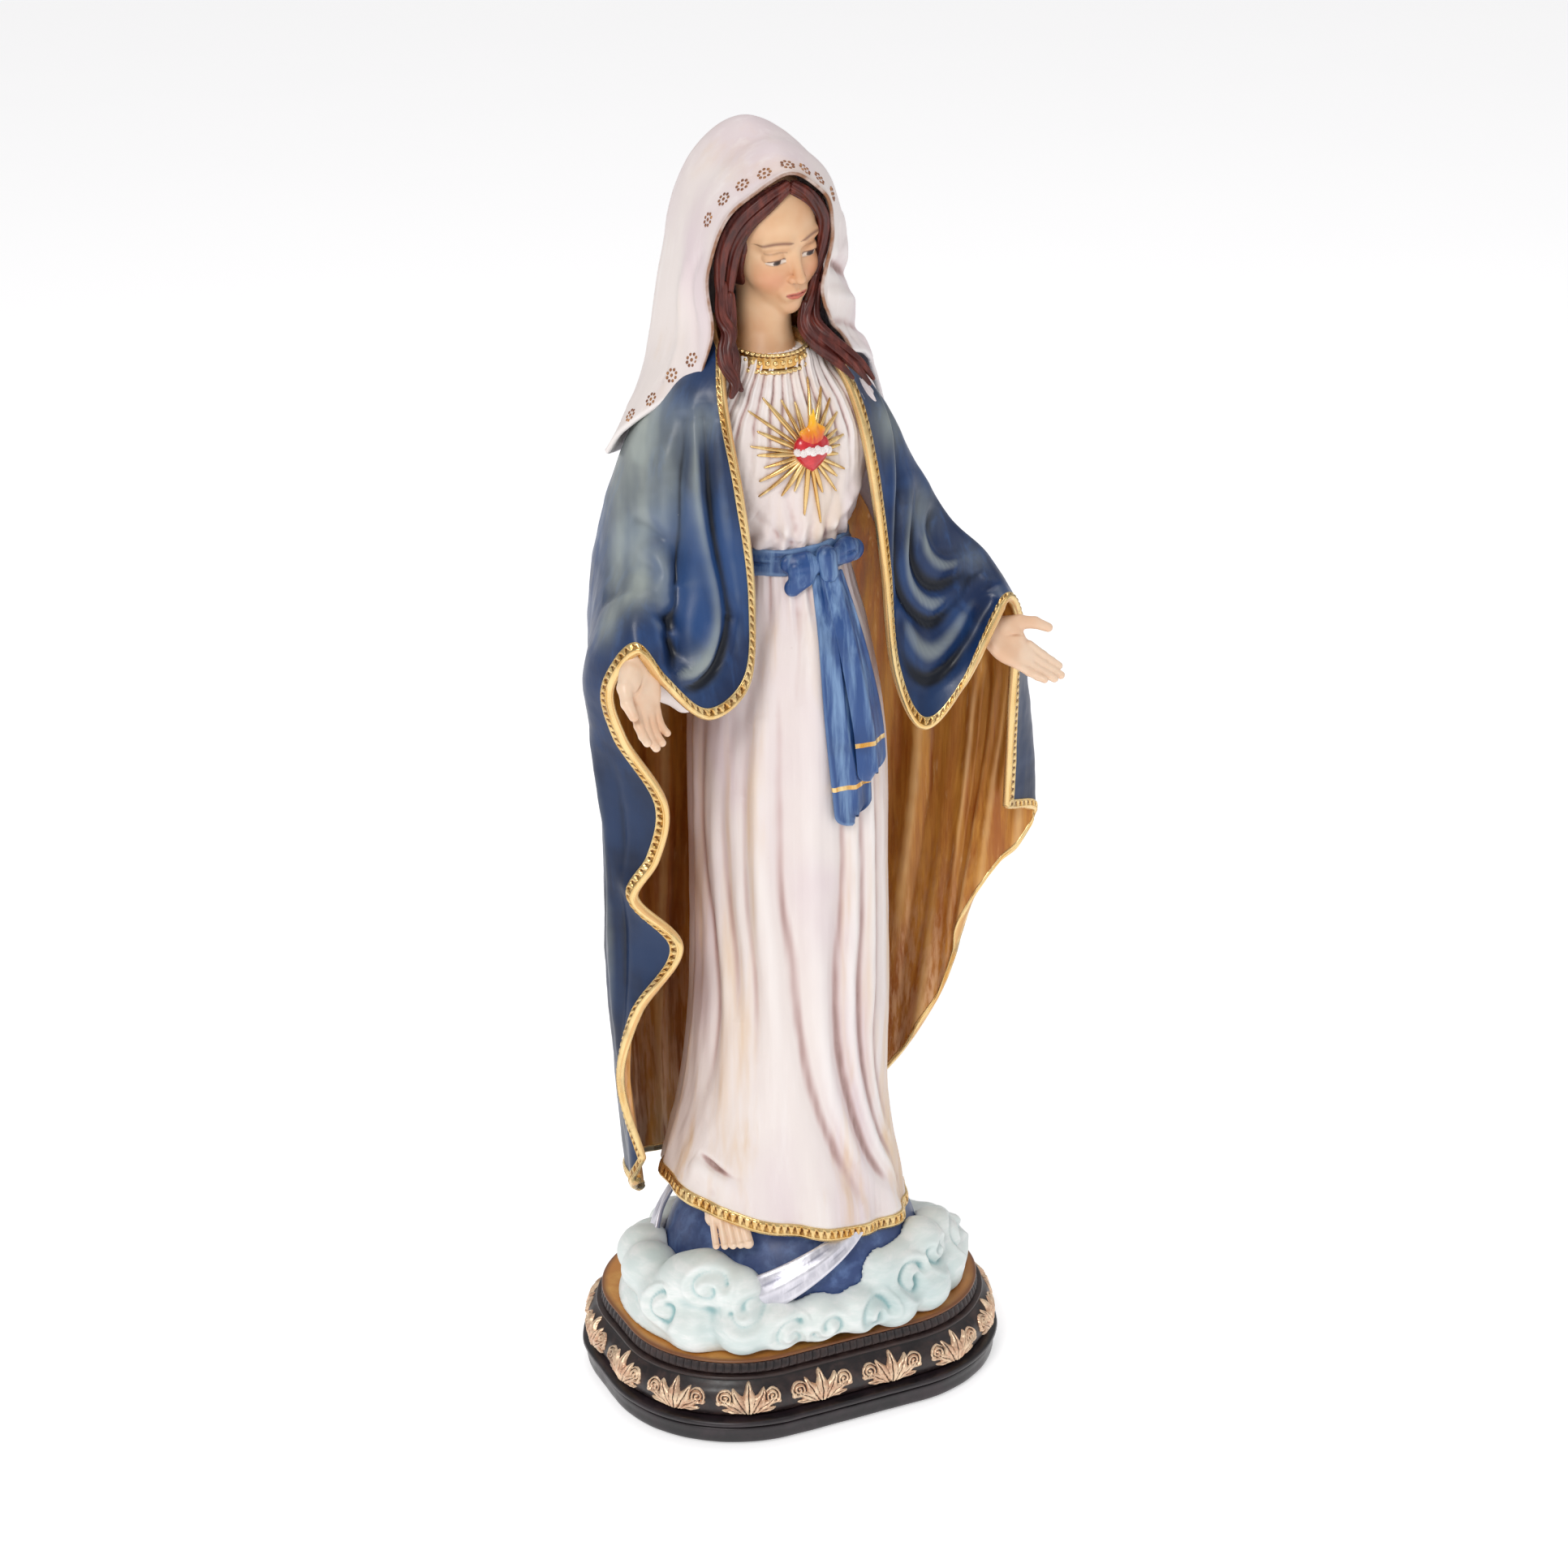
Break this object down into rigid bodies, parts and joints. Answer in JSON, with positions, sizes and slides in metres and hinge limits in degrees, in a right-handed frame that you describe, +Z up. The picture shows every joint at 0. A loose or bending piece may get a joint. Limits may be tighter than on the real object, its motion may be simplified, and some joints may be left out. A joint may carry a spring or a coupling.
{
  "type": "madonna statue",
  "caption": "Standing Madonna figure in a blue mantle and white veil with open hands, on a globe, crescent and cloud over a moulded plinth.",
  "frame": {"origin": "middle of the underside of the felt pad, where the statue stands", "axes": "+Z up; the figure faces -Y; +X is the figure's own left"},
  "size_m": [0.2369, 0.161, 0.6044],
  "materials": {
    "felt": "short dark green felt",
    "black_paint": "near-black paint, semi-gloss, worn",
    "brown_paint": "dark brown paint over moulded relief",
    "tan_paint": "tan paint with a reddish edge, satin",
    "worn_gold": "pinkish gold leaf, rubbed through",
    "gold": "bright gold paint over tooled relief",
    "steel": "plain steel",
    "beech": "turned beech",
    "cloud_paint": "pale aqua-white paint with teal shading, satin",
    "globe_paint": "dusty navy-blue paint",
    "silver": "silver paint, satin",
    "skin": "warm skin-coloured paint, satin",
    "robe_paint": "off-white paint with a brown wash in the folds",
    "hair_paint": "dark reddish-brown paint",
    "mantle_paint": "slate blue paint with pale airbrushed highlights, glossy",
    "sash_paint": "medium blue paint, dry-brushed pale",
    "heart_red": "glossy deep red paint",
    "flame_paint": "yellow to orange paint",
    "rose_white": "white paint"
  },
  "bodies": {
    "root": {"felt_pad": "felt", "plinth_foot": "black_paint", "plinth_frieze": "brown_paint", "plinth_fluted_band": "brown_paint", "plinth_top_plate": "tan_paint", "tie_rod": "steel", "tie_washer": "steel", "tie_nut": "steel", "locating_dowel_right": "beech", "locating_dowel_left": "beech", "globe": "globe_paint", "crescent_moon": "silver", "bare_foot": "skin", "head": "skin", "hair": "hair_paint", "veil": "robe_paint", "wrist_pin_right": "steel", "wrist_pin_left": "steel", "hand_right": "skin", "hand_left": "skin", "mantle": "mantle_paint", "mantle_trim_right": "gold", "mantle_trim_left": "gold", "mantle_hem_trim": "gold", "robe_skirt": "robe_paint", "robe_hem_trim": "gold", "robe_bodice": "robe_paint", "robe_sleeve_right": "robe_paint", "robe_sleeve_left": "robe_paint", "collar_trim": "gold", "belt": "sash_paint", "bow_knot": "sash_paint", "bow_loop_right": "sash_paint", "bow_loop_left": "sash_paint", "sash_tail_short": "sash_paint", "sash_tail_long": "sash_paint", "sacred_heart": "heart_red", "ray_burst": "gold", "rose_garland": "rose_white", "heart_flame": "flame_paint", "cloud_base": "cloud_paint", "acanthus_ornament_01": "worn_gold", "acanthus_ornament_02": "worn_gold", "acanthus_ornament_03": "worn_gold", "acanthus_ornament_04": "worn_gold", "acanthus_ornament_05": "worn_gold", "acanthus_ornament_06": "worn_gold", "acanthus_ornament_07": "worn_gold", "acanthus_ornament_08": "worn_gold", "acanthus_ornament_09": "worn_gold", "acanthus_ornament_10": "worn_gold", "acanthus_ornament_11": "worn_gold", "acanthus_ornament_12": "worn_gold", "acanthus_ornament_13": "worn_gold", "acanthus_ornament_14": "worn_gold", "acanthus_ornament_15": "worn_gold", "acanthus_ornament_16": "worn_gold"}
  },
  "joints": []
}
